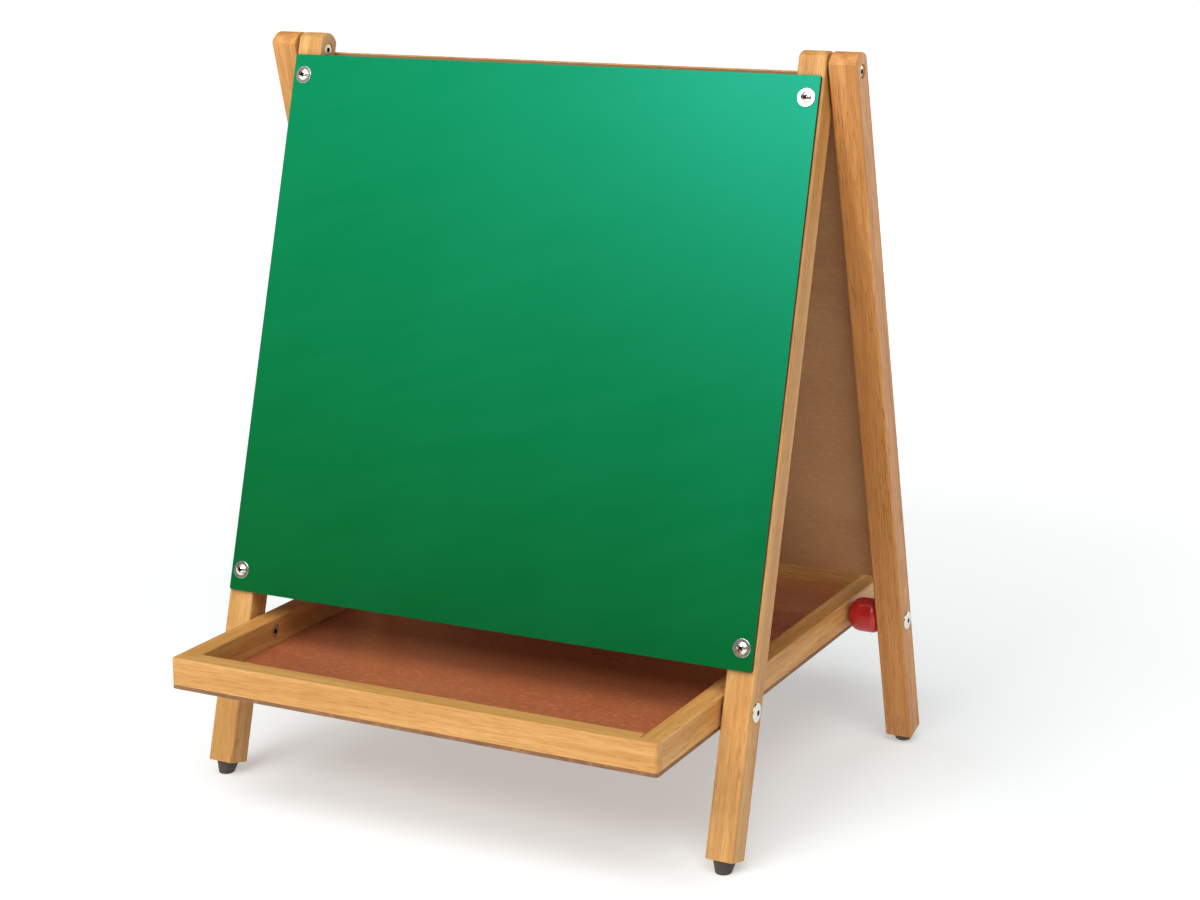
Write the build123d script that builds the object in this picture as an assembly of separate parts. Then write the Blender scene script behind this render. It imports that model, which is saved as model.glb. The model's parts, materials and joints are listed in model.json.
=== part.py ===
"""Tabletop easel for children: two leg frames joined by a hinge, a drawing board on each,
and a storage tray that passes under both boards.

Millimetres, +Z up.  X runs across the easel, the chalkboard faces -Y and the write-on
board faces +Y.  The origin is on the floor, midway between the four feet.  "left" is -X.
"""
import os
from math import cos, radians, sin, sqrt

from build123d import *

os.makedirs("parts", exist_ok=True)

# ---------------------------------------------------------------- legs
frame_width = 460.0          # across the outer faces of the front legs
leg_width = 22.5             # leg section, across the easel
leg_depth = 22.2             # leg section, front to back
leg_length = 580.0           # hinge axis to the sawn end
leg_lean = 15.5              # degrees that each frame leans from upright
leg_top_radius = 14.0        # rounded top, centred on the hinge axis
leg_edge_round = 1.8         # eased long edges
leg_end_chamfer = 0.8        # broken edge round the sawn end
leg_gap = 2.0                # between a front leg and the rear leg outside it

# ---------------------------------------------------------------- boards
board_thickness = 3.2
board_corner = 2.0           # rounded corners
board_side_inset = 1.7       # board edge inside the legs' outer faces
board_top_drop = 6.7         # hinge axis to a board's top edge, along the leg
chalkboard_height = 435.8
board_swing_clearance = 2.5  # write-on board's lower edge over the tray as the frame swings
board_bolt_inset = 16.7      # bolt centre to the board's top or bottom edge

# ---------------------------------------------------------------- tray
tray_length = 481.4          # front to back, over the end rails
tray_side_gap = 2.0          # side rail to the front leg beside it
tray_drop = 443.5            # hinge axis down to the rails' top edge
rail_height = 21.6
rail_thickness = 17.0
rail_lap = 8.0               # end rail left in front of the side rail at a lapped corner
rail_corner_round = 3.0      # upright outer corners of the tray
rail_edge_round = 1.6        # long top edges
panel_thickness = 3.1
panel_corner = 3.0
panel_screw_pitch = 130.0    # most that two screws along one rail stand apart
panel_screw_radius = 1.25
panel_screw_length = 13.0
panel_screw_head_radius = 2.8
panel_screw_head_height = 1.2
dowel_radius = 2.5
dowel_length = 20.0
dowel_spacing = 10.0         # between the two dowels of a corner
dowel_in_end_rail = 6.0

# ---------------------------------------------------------------- feet
foot_height = 9.2            # on the foot's own axis
foot_top_radius = 8.6
foot_bottom_radius = 6.0
foot_edge_round = 1.0
foot_screw_head_radius = 3.0
foot_screw_head_height = 2.0
foot_screw_radius = 1.75
foot_screw_length = 20.0
foot_screw_recess = 4.0      # floor side of the foot to the screw's head

# ---------------------------------------------------------------- metal fittings
thread_radius = 3.0          # M6 bolts and everything they screw into
thread_clearance = 0.1       # plain shank inside a plain threaded hole
sleeve_radius = 4.0          # sleeve nuts that the hinge and the tray turn on
running_clearance = 0.05     # radial, leg or rail on its sleeve
sleeve_head_radius = 5.2
sleeve_head_height = 1.5
sleeve_head_sink = 0.4       # head below the wood around it
sleeve_head_lift = 0.15      # head above the floor of its recess
recess_clearance = 0.4       # radial, round a head sunk in wood
hinge_head_radius = 5.0
hinge_head_height = 1.6
hinge_head_rim = 1.1
hinge_head_sink = 0.5
sleeve_in_far_piece = 8.0    # how far the hinge's sleeve reaches into the rear leg
disc_head_radius = 7.3       # flat heads on the outer faces of the legs
disc_head_height = 1.6
disc_head_rim = 0.9
board_head_radius = 7.0      # washer heads on the boards
board_head_rim = 1.0         # thickness of the washer's edge
board_dome_radius = 4.6      # raised middle of the washer head
board_dome_edge = 1.9        # height of the dome's edge over the board
board_dome_height = 3.0
cross_slot_width = 1.1       # cross recess in the dome
cross_slot_length = 5.0
cross_slot_depth = 1.7
board_bolt_length = 17.0
bolt_tip_room = 1.0          # blind hole beyond a bolt's end
insert_radius = 4.5
insert_length = 12.0
socket_flats = 4.0           # hexagon key size of the other bolts
socket_depth = 2.0
washer_radius = 8.0
washer_clearance = 0.3       # total, in the gap that holds the washer
washer_bore_clearance = 0.3  # radial, round the sleeve

# ---------------------------------------------------------------- locking knobs
knob_radius = 14.0
knob_end_clearance = 0.35    # to the rear leg and to the tray's side rail
knob_rail_round = 11.0       # rounding of the end towards the tray's side rail
knob_leg_round = 5.0         # rounding of the end against the rear leg
knob_insert_length = 16.0
knob_bolt_tip = 4.0          # bolt end short of the knob's outer end

# ---------------------------------------------------------------- worked out
lean_sin, lean_cos = sin(radians(leg_lean)), cos(radians(leg_lean))
hinge_height = (leg_length + foot_height) * lean_cos
half_depth = leg_depth / 2
front_outer = frame_width / 2                    # X of the front legs' outer faces
front_inner = front_outer - leg_width
rear_inner = front_outer + leg_gap
rear_outer = rear_inner + leg_width
front_leg_x = (front_outer + front_inner) / 2
rear_leg_x = (rear_outer + rear_inner) / 2
tray_half_width = front_inner - tray_side_gap
tray_half_length = tray_length / 2
rail_inner_x = tray_half_width - rail_thickness
rail_inner_y = tray_half_length - rail_thickness
tray_top = hinge_height - tray_drop
rail_middle = tray_top - rail_height / 2
rail_bottom = tray_top - rail_height
panel_bottom = rail_bottom - panel_thickness
side_rail_x = tray_half_width - rail_thickness / 2
end_rail_y = tray_half_length - rail_thickness / 2
pivot_along_leg = (tray_drop + rail_height / 2) / lean_cos
pivot_y = pivot_along_leg * lean_sin
board_outer_face = half_depth + board_thickness
chalkboard_bottom = board_top_drop + chalkboard_height
whiteboard_bottom = sqrt((tray_drop - board_swing_clearance) ** 2 - board_outer_face ** 2)
hinge_head_seat = rear_outer - hinge_head_sink - hinge_head_height
hinge_sleeve_seat = front_inner + sleeve_head_sink + sleeve_head_height
pivot_sleeve_seat = rail_inner_x + sleeve_head_sink + sleeve_head_height
knob_start = tray_half_width + knob_end_clearance
knob_end = rear_inner - knob_end_clearance
SIDES = {"left": -1, "right": 1}


def on_front(shape):
    """Move a shape from a leg's own axes (hinge at the origin, foot down -Z) to the front frame."""
    return Pos(0, 0, hinge_height) * Rot(X=-leg_lean) * shape


def on_rear(shape):
    """The same for the rear frame, whose board side faces +Y."""
    return Pos(0, 0, hinge_height) * Rot(X=leg_lean) * shape


def save(name, *solids):
    """Write one node: a single solid, or a group of separate equal fasteners."""
    shape = solids[0] if len(solids) == 1 else Compound(children=list(solids))
    export_step(shape, f"parts/{name}.step")
    print(f"{name:24s} {len(shape.solids()):3d} solid(s)")


def rod_x(radius, x_a, x_b, y=0.0, z=0.0):
    """A cylinder along X from x_a to x_b."""
    return Pos((x_a + x_b) / 2, y, z) * Rot(Y=90) * Cylinder(radius, abs(x_b - x_a))


def rod_y(radius, y_a, y_b, x=0.0, z=0.0):
    """A cylinder along Y from y_a to y_b."""
    return Pos(x, (y_a + y_b) / 2, z) * Rot(X=90) * Cylinder(radius, abs(y_b - y_a))


def rod_z(radius, z_a, z_b, x=0.0, y=0.0):
    """A cylinder along Z from z_a to z_b."""
    return Pos(x, y, (z_a + z_b) / 2) * Cylinder(radius, abs(z_b - z_a))


def turned(*lines):
    """A piece turned about Z from its half outline in the XZ plane."""
    return revolve(Plane.XZ * make_face(Curve() + list(lines)), Axis.Z)


def key_socket(top):
    """The hexagon recess cut down into a head whose crown is at height top."""
    hexagon = RegularPolygon(socket_flats / 2, 6, major_radius=False)
    return Pos(0, 0, top - socket_depth) * extrude(hexagon, socket_depth * 2)


def socket_bolt(head_radius, head_height, rim, length):
    """A bolt with its head standing on Z = 0 and its shank hanging below."""
    shank = thread_radius - thread_clearance
    body = turned(
        Polyline((0, head_height), (0, -length), (shank, -length), (shank, 0),
                 (head_radius, 0), (head_radius, rim)),
        TangentArc((0, head_height), (head_radius, rim), tangent=(1, 0)),
    )
    return body - key_socket(head_height)


def washer_head_bolt():
    """A board bolt: a domed cross-recess head on its own wide washer, standing on Z = 0."""
    shank = thread_radius - thread_clearance
    body = turned(
        Polyline((0, board_dome_height), (0, -board_bolt_length), (shank, -board_bolt_length),
                 (shank, 0), (board_head_radius, 0), (board_head_radius, board_head_rim / 2),
                 (board_dome_radius, board_head_rim), (board_dome_radius, board_dome_edge)),
        TangentArc((0, board_dome_height), (board_dome_radius, board_dome_edge), tangent=(1, 0)),
    )
    slot = Pos(0, 0, board_dome_height) * Box(cross_slot_length, cross_slot_width,
                                              2 * cross_slot_depth)
    return body - slot - Rot(Z=90) * slot


def sleeve_nut(length):
    """A sleeve nut with its head standing on Z = 0 and its barrel hanging below."""
    body = rod_z(sleeve_head_radius, 0, sleeve_head_height) + rod_z(sleeve_radius, -length, 0)
    bore = rod_z(thread_radius, -length, sleeve_head_height - socket_depth)
    return body - bore - key_socket(sleeve_head_height)


def facing(x_sign, shape, x):
    """Turn a piece built up +Z so that it looks along +X or -X, with its Z = 0 at x."""
    return Pos(x, 0, 0) * Rot(Y=90 * x_sign) * shape


def washer(x_a, x_b):
    bore = rod_x(sleeve_radius + washer_bore_clearance, x_a, x_b)
    return rod_x(washer_radius, x_a, x_b) - bore


# ---------------------------------------------------------------- leg frames
def leg_blank(x):
    """A square leg with a rounded top, its long edges eased and its sawn end broken."""
    shoulder = sqrt(leg_top_radius ** 2 - half_depth ** 2)
    outline = Curve() + [
        Polyline((half_depth, shoulder), (half_depth, -leg_length),
                 (-half_depth, -leg_length), (-half_depth, shoulder)),
        ThreePointArc((-half_depth, shoulder), (0, leg_top_radius), (half_depth, shoulder)),
    ]
    blank = extrude(Plane.YZ * make_face(outline), leg_width / 2, both=True)
    long_edges = blank.edges().filter_by(Axis.Z)
    top_edges = blank.edges().filter_by(GeomType.CIRCLE)
    blank = fillet(long_edges + top_edges, leg_edge_round)
    end_face = blank.faces().sort_by(Axis.Z)[0]
    blank = chamfer(end_face.edges(), leg_end_chamfer)
    return Pos(x, 0, 0) * blank


def foot_screw_hole(x):
    depth = foot_screw_length - (foot_height - foot_screw_recess)
    return rod_z(foot_screw_radius, -leg_length, -leg_length + depth, x)


def bolt_heights(board_bottom):
    """Heights of a board's two rows of bolts, on the leg's own axis."""
    return -(board_top_drop + board_bolt_inset), -(board_bottom - board_bolt_inset)


def insert_holes(x, board_bottom, outward):
    """Blind holes for the two threaded inserts that hold a board on one leg."""
    face = outward * half_depth
    floor = outward * (half_depth - insert_length)
    tip = outward * (board_outer_face - board_bolt_length - bolt_tip_room)
    holes = Part()
    for z in bolt_heights(board_bottom):
        holes += rod_y(insert_radius, face, floor, x, z) + rod_y(thread_radius, face, tip, x, z)
    return holes


def front_leg(side):
    leg = leg_blank(side * front_leg_x)
    leg -= insert_holes(side * front_leg_x, chalkboard_bottom, -1)
    leg -= foot_screw_hole(side * front_leg_x)
    recess_floor = hinge_sleeve_seat + sleeve_head_lift
    leg -= rod_x(sleeve_radius + running_clearance, side * front_inner, side * front_outer)
    leg -= rod_x(sleeve_head_radius + recess_clearance, side * front_inner, side * recess_floor)
    leg -= rod_x(thread_radius, side * front_inner, side * front_outer, z=-pivot_along_leg)
    return leg


def rear_leg(side):
    leg = leg_blank(side * rear_leg_x)
    leg -= insert_holes(side * rear_leg_x, whiteboard_bottom, 1)
    leg -= foot_screw_hole(side * rear_leg_x)
    leg -= rod_x(thread_radius, side * rear_inner, side * rear_outer)
    leg -= rod_x(sleeve_radius, side * rear_inner, side * (rear_inner + sleeve_in_far_piece))
    leg -= rod_x(hinge_head_radius + recess_clearance, side * hinge_head_seat, side * rear_outer)
    leg -= rod_x(thread_radius, side * rear_inner, side * rear_outer, z=-pivot_along_leg)
    return leg


def foot(x):
    """A tapered rubber foot on the leg's sawn end, before it is cut level with the floor."""
    reach = foot_height + foot_bottom_radius
    slope = (foot_top_radius - foot_bottom_radius) / foot_height
    tip_radius = foot_top_radius - slope * reach
    cone = turned(Polyline((0, 0), (foot_top_radius, 0), (tip_radius, -reach), (0, -reach), (0, 0)))
    recess = rod_z(foot_screw_head_radius + 0.2, -reach, -foot_height + foot_screw_recess)
    return Pos(x, 0, -leg_length) * (cone - recess - rod_z(foot_screw_radius, -reach, 0))


def level_foot(placed):
    """Cut a placed foot off at the floor and round its lower outer edge."""
    above_floor = Pos(0, 0, hinge_height / 2) * Box(4 * frame_width, 4 * tray_length, hinge_height)
    cut = placed & above_floor
    rim = cut.edges().filter_by_position(Axis.Z, -0.01, 0.01).sort_by(SortBy.LENGTH)[-1]
    return fillet(rim, foot_edge_round)


def foot_screw(x):
    head_seat = -leg_length - foot_height + foot_screw_recess
    head = rod_z(foot_screw_head_radius, head_seat - foot_screw_head_height, head_seat, x)
    return head + rod_z(foot_screw_radius, head_seat, head_seat + foot_screw_length, x)


def board(width, bottom, outward):
    """A flat board on a frame's outer leg faces, drilled for its four bolts."""
    middle = -(board_top_drop + bottom) / 2
    half_height = (bottom - board_top_drop) / 2
    blank = extrude(RectangleRounded(width, 2 * half_height, board_corner), board_thickness / 2,
                    both=True)
    y = outward * (half_depth + board_thickness / 2)
    return Pos(0, y, middle) * Rot(X=90) * blank


def make_frame(name, place, leg, leg_x, width, bottom, outward, board_name):
    """Both legs, the board, its bolts and inserts, and the feet of one frame."""
    for side_name, side in SIDES.items():
        save(f"{name}_leg_{side_name}", place(leg(side)))
        save(f"{name}_foot_{side_name}", level_foot(place(foot(side * leg_x))))
    save(f"{name}_foot_screws", *[place(foot_screw(side * leg_x)) for side in (-1, 1)])
    panel = board(width, bottom, outward)
    bolts, inserts = [], []
    bolt = washer_head_bolt()
    face = outward * board_outer_face
    seat, floor = outward * half_depth, outward * (half_depth - insert_length)
    for x, z in [(side * leg_x, z) for z in bolt_heights(bottom) for side in (-1, 1)]:
        panel -= rod_y(thread_radius, seat, face, x, z)
        bolts.append(place(Pos(x, face, z) * Rot(X=-90 * outward) * bolt))
        insert = rod_y(insert_radius, seat, floor, x, z) - rod_y(thread_radius, seat, floor, x, z)
        inserts.append(place(insert))
    save(board_name, place(panel))
    save(f"{board_name}_bolts", *bolts)
    save(f"{board_name}_inserts", *inserts)


make_frame("front", on_front, front_leg, front_leg_x, frame_width - 2 * board_side_inset,
           chalkboard_bottom, -1, "chalkboard")
make_frame("rear", on_rear, rear_leg, rear_leg_x, 2 * (rear_outer - board_side_inset),
           whiteboard_bottom, 1, "whiteboard")

# ---------------------------------------------------------------- hinge
hinge_sleeve = sleeve_nut(rear_inner + sleeve_in_far_piece - hinge_sleeve_seat)
hinge_bolt = socket_bolt(hinge_head_radius, hinge_head_height, hinge_head_rim,
                         hinge_head_seat - hinge_sleeve_seat - socket_depth)
save("hinge_bolts", *[on_rear(facing(side, hinge_bolt, side * hinge_head_seat))
                      for side in (-1, 1)])
save("hinge_sleeve_nuts", *[on_rear(facing(-side, hinge_sleeve, side * hinge_sleeve_seat))
                            for side in (-1, 1)])
save("hinge_washers", *[on_front(washer(side * front_outer,
                                        side * (rear_inner - washer_clearance)))
                        for side in (-1, 1)])


# ---------------------------------------------------------------- tray
def dowel_places(side):
    """Axes (x, z) of the two dowels through one lapped corner."""
    return [(side * side_rail_x, rail_middle + step * dowel_spacing / 2) for step in (-1, 1)]


def dowel_span(end):
    """Y from the blind end in the end rail to the blind end in the side rail."""
    joint = tray_half_length - rail_lap
    return end * (joint + dowel_in_end_rail), end * (joint + dowel_in_end_rail - dowel_length)


def screw_places():
    """Screw centres (x, y) along the middle of all four rails."""
    across = int(2 * rail_inner_x / panel_screw_pitch) + 1
    along = int(2 * rail_inner_y / panel_screw_pitch) + 1
    places = [((step + 0.5) / across * 2 * rail_inner_x - rail_inner_x, end * end_rail_y)
              for end in (-1, 1) for step in range(across)]
    places += [(side * side_rail_x, (step + 0.5) / along * 2 * rail_inner_y - rail_inner_y)
               for side in (-1, 1) for step in range(along)]
    return places


def panel_screw_hole(place):
    return rod_z(panel_screw_radius, rail_bottom, panel_bottom + panel_screw_length, *place)


def end_rail(end):
    """Front or rear rail: full width, lapped over the ends of the side rails."""
    rail = Pos(0, end * end_rail_y, rail_middle) * Box(
        2 * tray_half_width, rail_thickness, rail_height)
    outer = rail.edges().filter_by(Axis.Z).sort_by(Axis.Y)
    corners = outer[:2] if end < 0 else outer[-2:]
    rail = fillet(corners, rail_corner_round)
    depth = rail_thickness - rail_lap
    for side in (-1, 1):
        rail -= Pos(side * side_rail_x, end * (rail_inner_y + depth / 2), rail_middle) * Box(
            rail_thickness, depth, rail_height)
    top = rail.faces().filter_by(Axis.Z).sort_by(Axis.Z)[-1]
    long_top = [edge for edge in top.edges().filter_by(Axis.X)
                if edge.length > 2 * rail_inner_x - 1]
    rail = fillet(long_top, rail_edge_round)
    for side in (-1, 1):
        for x, z in dowel_places(side):
            rail -= rod_y(dowel_radius, *dowel_span(end), x, z)
    for place in screw_places():
        if place[1] == end * end_rail_y:
            rail -= panel_screw_hole(place)
    return rail


def side_rail(side):
    """Side rail between the laps, bored for the sleeve that the tray turns on."""
    half = tray_half_length - rail_lap
    rail = Pos(side * side_rail_x, 0, rail_middle) * Box(
        rail_thickness, 2 * half, rail_height)
    top = rail.faces().filter_by(Axis.Z).sort_by(Axis.Z)[-1]
    rail = fillet(top.edges().filter_by(Axis.Y), rail_edge_round)
    for end in (-1, 1):
        for x, z in dowel_places(side):
            rail -= rod_y(dowel_radius, *dowel_span(end), x, z)
    for place in screw_places():
        if place[0] == side * side_rail_x:
            rail -= panel_screw_hole(place)
    recess_floor = pivot_sleeve_seat + sleeve_head_lift
    rail -= rod_x(sleeve_radius + running_clearance, side * rail_inner_x,
                  side * tray_half_width, -pivot_y, rail_middle)
    rail -= rod_x(sleeve_head_radius + recess_clearance, side * rail_inner_x,
                  side * recess_floor, -pivot_y, rail_middle)
    return rail


def panel_screw(x, y):
    """A screw with its head flush in the underside of the panel."""
    head_top = panel_bottom + panel_screw_head_height
    head = rod_z(panel_screw_head_radius, panel_bottom, head_top, x, y)
    return head + rod_z(panel_screw_radius, head_top, panel_bottom + panel_screw_length, x, y)


def bottom_panel():
    blank = extrude(RectangleRounded(2 * tray_half_width, tray_length, panel_corner), panel_thickness)
    blank = Pos(0, 0, panel_bottom) * blank
    for x, y in screw_places():
        blank -= panel_screw(x, y)
    return blank


save("tray_front_rail", end_rail(-1))
save("tray_rear_rail", end_rail(1))
for side_name, side in SIDES.items():
    save(f"tray_{side_name}_rail", side_rail(side))
save("tray_bottom_panel", bottom_panel())
save("tray_panel_screws", *[panel_screw(x, y) for x, y in screw_places()])
save("tray_corner_dowels", *[
    rod_y(dowel_radius, *dowel_span(end), x, z)
    for end in (-1, 1) for side in (-1, 1) for x, z in dowel_places(side)])

# ---------------------------------------------------------------- tray pivots
pivot_sleeve = sleeve_nut(front_inner - pivot_sleeve_seat)
pivot_bolt = socket_bolt(disc_head_radius, disc_head_height, disc_head_rim,
                         front_outer - pivot_sleeve_seat - socket_depth)


def at_pivot(shape):
    """Move a piece from the X axis to the tray's pivot axis, in line with the front legs."""
    return on_front(Pos(0, 0, -pivot_along_leg) * shape)


save("tray_pivot_bolts", *[at_pivot(facing(side, pivot_bolt, side * front_outer))
                           for side in (-1, 1)])
save("tray_pivot_nuts", *[at_pivot(facing(-side, pivot_sleeve, side * pivot_sleeve_seat))
                          for side in (-1, 1)])
save("tray_pivot_washers", *[
    at_pivot(washer(side * (tray_half_width + washer_clearance), side * front_inner))
    for side in (-1, 1)])


# ---------------------------------------------------------------- locking knobs
def at_knob(shape):
    """Move a piece from the X axis to the knobs' axis on the rear legs."""
    return on_rear(Pos(0, 0, -pivot_along_leg) * shape)


def lock_knob(side):
    """A fat rounded knob, bored from the leg's side for its threaded insert and the bolt."""
    body = rod_x(knob_radius, side * knob_start, side * knob_end)
    for end, radius in ((knob_start, knob_rail_round), (knob_end, knob_leg_round)):
        rim = body.edges().filter_by(GeomType.CIRCLE).filter_by_position(
            Axis.X, side * end - 0.01, side * end + 0.01)
        body = fillet(rim, radius)
    insert_start = knob_end - knob_insert_length
    body -= rod_x(insert_radius, side * insert_start, side * knob_end)
    hole_end = knob_start + knob_bolt_tip - bolt_tip_room
    return body - rod_x(thread_radius, side * hole_end, side * insert_start)


def knob_insert(side):
    ends = side * (knob_end - knob_insert_length), side * knob_end
    return rod_x(insert_radius, *ends) - rod_x(thread_radius - thread_clearance + running_clearance, *ends)


knob_bolt = socket_bolt(disc_head_radius, disc_head_height, disc_head_rim,
                        rear_outer - knob_start - knob_bolt_tip)
for side_name, side in SIDES.items():
    save(f"lock_knob_{side_name}", at_knob(lock_knob(side)))
    save(f"knob_insert_{side_name}", at_knob(knob_insert(side)))
save("knob_bolts", *[at_knob(facing(side, knob_bolt, side * rear_outer)) for side in (-1, 1)])

print(f"hinge height {hinge_height:.2f}, tray top {tray_top:.2f}, pivot y {pivot_y:.2f}, "
      f"pivot z {rail_middle:.2f}")
print(f"outside width {2 * (rear_outer + disc_head_height):.1f}, "
      f"height {hinge_height + leg_top_radius:.1f}")
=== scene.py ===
# %% [markdown]
# # A tabletop easel for children
# Two leaning leg frames share a hinge, each carries a drawing board, and one storage tray
# passes under both boards. The sizes and the joints were settled in a CAD model, which is
# loaded here as a fixed frame. This lesson makes the visible pieces again as clean meshes,
# each in the place of its CAD solid, and gives every surface its finish.

# %% Load the CAD frame
import json
from math import atan2, cos, degrees, hypot, pi, radians, sin, sqrt

import bmesh
import bpy
from mathutils import Matrix, Vector


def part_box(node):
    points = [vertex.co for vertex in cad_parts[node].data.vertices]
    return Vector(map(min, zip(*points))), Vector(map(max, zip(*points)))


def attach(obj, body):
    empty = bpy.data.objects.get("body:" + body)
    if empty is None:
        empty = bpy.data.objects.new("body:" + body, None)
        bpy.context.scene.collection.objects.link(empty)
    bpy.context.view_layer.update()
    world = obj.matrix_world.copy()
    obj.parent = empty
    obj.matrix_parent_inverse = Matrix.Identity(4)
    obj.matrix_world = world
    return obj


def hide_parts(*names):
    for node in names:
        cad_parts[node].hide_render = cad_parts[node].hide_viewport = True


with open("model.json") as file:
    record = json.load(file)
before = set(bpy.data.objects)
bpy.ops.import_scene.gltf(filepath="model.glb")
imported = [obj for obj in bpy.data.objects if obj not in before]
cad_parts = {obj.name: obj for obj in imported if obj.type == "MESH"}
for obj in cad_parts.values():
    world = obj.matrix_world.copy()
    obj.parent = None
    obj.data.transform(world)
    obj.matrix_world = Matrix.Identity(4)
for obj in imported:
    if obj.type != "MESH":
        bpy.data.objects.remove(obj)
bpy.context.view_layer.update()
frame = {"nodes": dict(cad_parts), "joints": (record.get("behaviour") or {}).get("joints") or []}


# %% [markdown]
# ## The hinge and the lean
# Nothing in this file is placed by eye. The hinge line and the tray's pivot are read from the
# joints of the CAD model, and the line from one to the other gives the lean of the legs. Each
# leg frame then gets its own axes: the hinge is the origin and the leg hangs down along -Z.
# A piece is easiest to make in those straight axes and to lean over afterwards.

# %% Axes of the two leg frames
def slide(x, y, z):
    return Matrix.Translation((x, y, z))


def spin(angle, axis):
    return Matrix.Rotation(angle, 4, axis)


joints = {joint["name"]: joint for joint in frame["joints"]}
hinge = Vector(joints["rear_frame_fold"]["pos_m"])
tray_pivot = Vector(joints["tray_lift"]["pos_m"])
lean = atan2(-tray_pivot.y, hinge.z - tray_pivot.z)
front_axes = slide(*hinge) @ spin(-lean, "X")
rear_axes = slide(*hinge) @ spin(lean, "X")
upright = Matrix()
pivot_drop = hypot(tray_pivot.y, hinge.z - tray_pivot.z)
SIDES = {"left": -1, "right": 1}
print(f"hinge {hinge.z * 1000:.1f} mm up, lean {degrees(lean):.2f} degrees")


def mm(size):
    return size * 0.001


def own_box(node, axes):
    """Lowest and highest corner of a CAD node, measured along the given axes."""
    back = axes.inverted()
    points = [back @ vertex.co for vertex in frame["nodes"][node].data.vertices]
    return (Vector([min(point[i] for point in points) for i in range(3)]),
            Vector([max(point[i] for point in points) for i in range(3)]))


# %% [markdown]
# ## Camera
# The easel is seen from its right front corner, from a little above its top. A long lens
# keeps the leg frames from looking wider at the near side. The small shift slides the picture
# on the film, as a view camera does, so that upright things stay upright.

# %% Camera
lens = bpy.data.cameras.new("camera")
lens.sensor_width, lens.lens = 36.0, 71.24
lens.shift_x, lens.shift_y = -0.0110, -0.0817
camera = bpy.data.objects.new("camera", lens)
camera.location = (0.8697, -1.6311, hinge.z + 0.1483)
camera.rotation_euler = (radians(78.38), radians(0.06), radians(26.64))
bpy.context.scene.collection.objects.link(camera)
bpy.context.scene.camera = camera
print(f"camera {camera.location.length:.2f} m from the origin, {lens.lens} mm lens")


# %% [markdown]
# ## Studio
# A catalogue studio is a pale floor, big soft lamps and a dim room. The lamps are area lights,
# since their size sets how soft a shadow is and how wide a highlight on lacquer. The room is
# the world colour: dim at eye level and behind the easel, so that metal has something dark to
# mirror, and bright overhead.

# %% Nodes and colours
def node(owner, kind, sockets=None, **settings):
    """Add one node; a socket's value may be a number, a colour or another node's output."""
    made = owner.node_tree.nodes.new("ShaderNode" + kind)
    for setting, value in settings.items():
        setattr(made, setting, value)
    for name, value in (sockets or {}).items():
        if isinstance(value, bpy.types.NodeSocket):
            owner.node_tree.links.new(value, made.inputs[name])
        else:
            made.inputs[name].default_value = value
    return made


def colour(red, green, blue):
    """A display colour, 0 to 255, as the linear light that shaders want."""
    return tuple(((c / 255 + 0.055) / 1.055) ** 2.4 if c > 10 else c / 255 / 12.92
                 for c in (red, green, blue))


# %% Soft lamps and the dim room
def soft_lamp(name, place, aim, width, height, power):
    light = bpy.data.lights.new(name, "AREA")
    light.shape, light.size, light.size_y = "RECTANGLE", width, height
    light.energy = power
    lamp = bpy.data.objects.new(name, light)
    lamp.location = place
    lamp.rotation_euler = (Vector(aim) - Vector(place)).to_track_quat("-Z", "Y").to_euler()
    lamp.visible_camera = False
    bpy.context.scene.collection.objects.link(lamp)


bpy.context.scene.view_settings.view_transform = "Standard"


def dim_room(low_light, high_light, seen):
    """A room that is dim at eye level and bright overhead; the camera sees it plain and pale."""
    room = bpy.data.worlds.new("room")
    bpy.context.scene.world = room
    room.use_nodes = True
    way = node(room, "TexCoord").outputs["Generated"]
    parts = node(room, "SeparateXYZ", {"Vector": way})
    height, depth = parts.outputs["Z"], parts.outputs["Y"]
    behind = node(room, "MapRange", {"Value": depth, "From Min": -0.55, "From Max": 0.25,
                                     "To Min": 1.0, "To Max": 0.12}).outputs["Result"]
    brightness = node(room, "MapRange", {"Value": height, "From Min": 0.12, "From Max": 0.80,
                                         "To Min": low_light, "To Max": high_light},
                      interpolation_type="SMOOTHSTEP").outputs["Result"]
    brightness = node(room, "Math", {0: brightness, 1: behind}, operation="MULTIPLY").outputs[0]
    looking = node(room, "LightPath").outputs["Is Camera Ray"]
    shown = node(room, "Mix", {0: looking, 2: brightness, 3: seen}, data_type="FLOAT").outputs[0]
    backdrop = room.node_tree.nodes["Background"]
    backdrop.inputs["Color"].default_value = (1.0, 0.99, 0.97, 1.0)
    room.node_tree.links.new(shown, backdrop.inputs["Strength"])


dim_room(0.16, 0.92, 1.0)
easel_middle = (0.0, 0.0, 0.28)
soft_lamp("overhead", (-0.4, -1.35, 3.3), easel_middle, 2.8, 2.2, 43)
soft_lamp("front_high", (-0.55, -2.9, 2.15), (0.0, 0.0, 0.45), 1.6, 0.75, 40)
soft_lamp("right_high", (1.45, -1.9, 2.9), easel_middle, 1.5, 1.5, 29)
soft_lamp("back_low", (1.3, 2.7, 0.9), easel_middle, 1.4, 0.9, 13)
print(f"{len(bpy.data.lights)} lamps, {sum(light.energy for light in bpy.data.lights):.0f} W")


# %% [markdown]
# ## Making pieces
# Three ways of working cover the whole easel, as they do in a workshop. `saw` cuts a straight
# length with a given outline, `turn` spins a half outline on the lathe, and `cut_away` takes
# one shape out of another. `ease` rounds chosen edges. Real edges are never sharp, and the
# thin bright line on an eased edge does much to make wood and board look real.

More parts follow.
